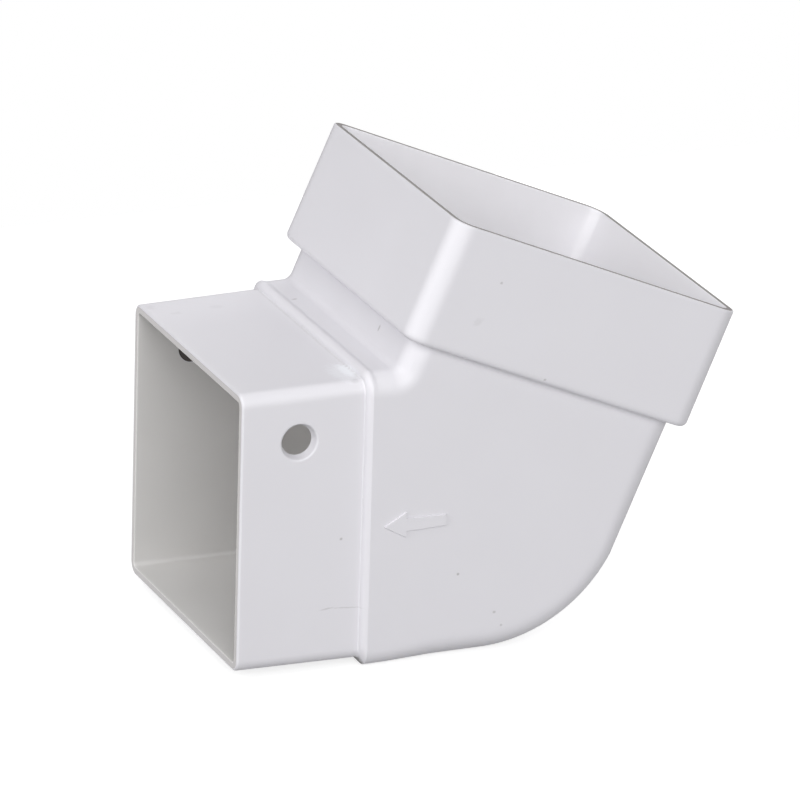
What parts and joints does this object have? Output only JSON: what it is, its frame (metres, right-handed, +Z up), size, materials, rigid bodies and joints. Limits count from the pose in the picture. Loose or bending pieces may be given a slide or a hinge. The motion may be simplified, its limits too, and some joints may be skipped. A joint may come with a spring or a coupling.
{
  "type": "downspout elbow",
  "caption": "Square moulded plastic downspout elbow with a spigot, a rounded heel and a tilted socket, and a hole through each side of the spigot.",
  "frame": {"origin": "middle of the flat under the heel, on the floor the part stands on", "axes": "+Z up, -X out of the spigot's mouth, +X towards the heel's back, Y across the part, with Y = 0 the plane of symmetry"},
  "size_m": [0.109, 0.0702, 0.0968],
  "materials": {
    "plastic": "smooth white rigid PVC with a soft gloss"
  },
  "bodies": {
    "root": {"elbow": "plastic"}
  },
  "joints": []
}
